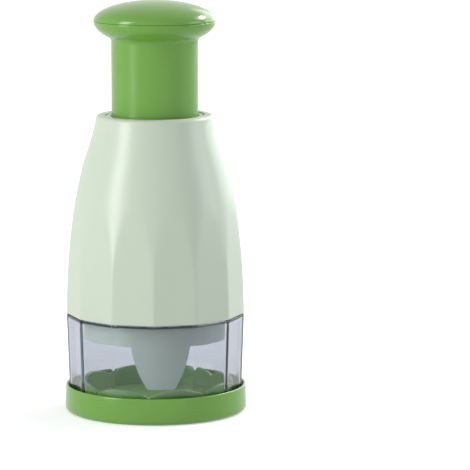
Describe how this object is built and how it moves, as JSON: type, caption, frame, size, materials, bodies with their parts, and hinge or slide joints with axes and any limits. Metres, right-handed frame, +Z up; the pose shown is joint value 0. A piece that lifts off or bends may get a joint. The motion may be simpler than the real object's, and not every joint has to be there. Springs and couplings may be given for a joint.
{
  "type": "plunger food chopper",
  "caption": "Hand food chopper: pushing the domed plunger drives a turning zigzag blade down into a clear faceted cup on a round base.",
  "frame": {"origin": "on the table, under the centre of the base", "axes": "+Z up along the plunger's travel, front towards -Y, +X to the right of the front"},
  "size_m": [0.069, 0.069, 0.156],
  "materials": {
    "green_plastic": "moulded, satin to gloss",
    "mint_plastic": "moulded, glossy",
    "clear_plastic": "clear, polished",
    "white_nylon": "moulded, matte",
    "blade_steel": "brushed",
    "spring_steel": "drawn wire",
    "screw_steel": "plated"
  },
  "bodies": {
    "base": {"base_cap": "green_plastic"},
    "cup": {"clear_cup": "clear_plastic"},
    "housing": {"housing_shell": "mint_plastic", "guide_bush": "green_plastic", "guard_sleeve": "mint_plastic", "bearing_plate": "mint_plastic", "cam_nut": "white_nylon", "guard_screws": "screw_steel", "wiper_ring": "white_nylon", "return_spring": "spring_steel"},
    "plunger": {"plunger_tube": "green_plastic", "knob_cap": "green_plastic"},
    "rotor": {"spiral_spindle": "white_nylon", "thrust_washer": "screw_steel", "spindle_washer": "screw_steel", "spindle_screw": "screw_steel", "blade_carrier": "white_nylon", "zigzag_blade": "blade_steel", "blade_screw": "screw_steel"},
    "wiper": {"wiper_disc": "white_nylon"}
  },
  "joints": [
    {"name": "cup_lift", "type": "slide", "parent": "base", "child": "cup", "axis": [0, 0, 1], "range_m": [0, 0.02]},
    {"name": "housing_lift", "type": "slide", "parent": "cup", "child": "housing", "axis": [0, 0, 1], "range_m": [0, 0.04]},
    {"name": "plunger_slide", "type": "slide", "parent": "housing", "child": "plunger", "axis": [0, 0, -1], "range_m": [0, 0.025], "stiffness_N_per_m": 400, "springref_m": -0.01, "deforming": ["return_spring"]},
    {"name": "rotor_turn", "type": "hinge", "parent": "plunger", "child": "rotor", "pos_m": [0, 0, 0.06], "axis": [0, 0, 1], "range_deg": [-46, 0.5]},
    {"name": "wiper_turn", "type": "hinge", "parent": "housing", "child": "wiper", "pos_m": [0, 0, 0.03], "axis": [0, 0, 1], "range_deg": [-46, 0.5]}
  ],
  "couplings": [
    {"joint": "rotor_turn", "follows": "plunger_slide", "rad_per_m": -31.416},
    {"joint": "wiper_turn", "follows": "plunger_slide", "rad_per_m": -31.416}
  ]
}
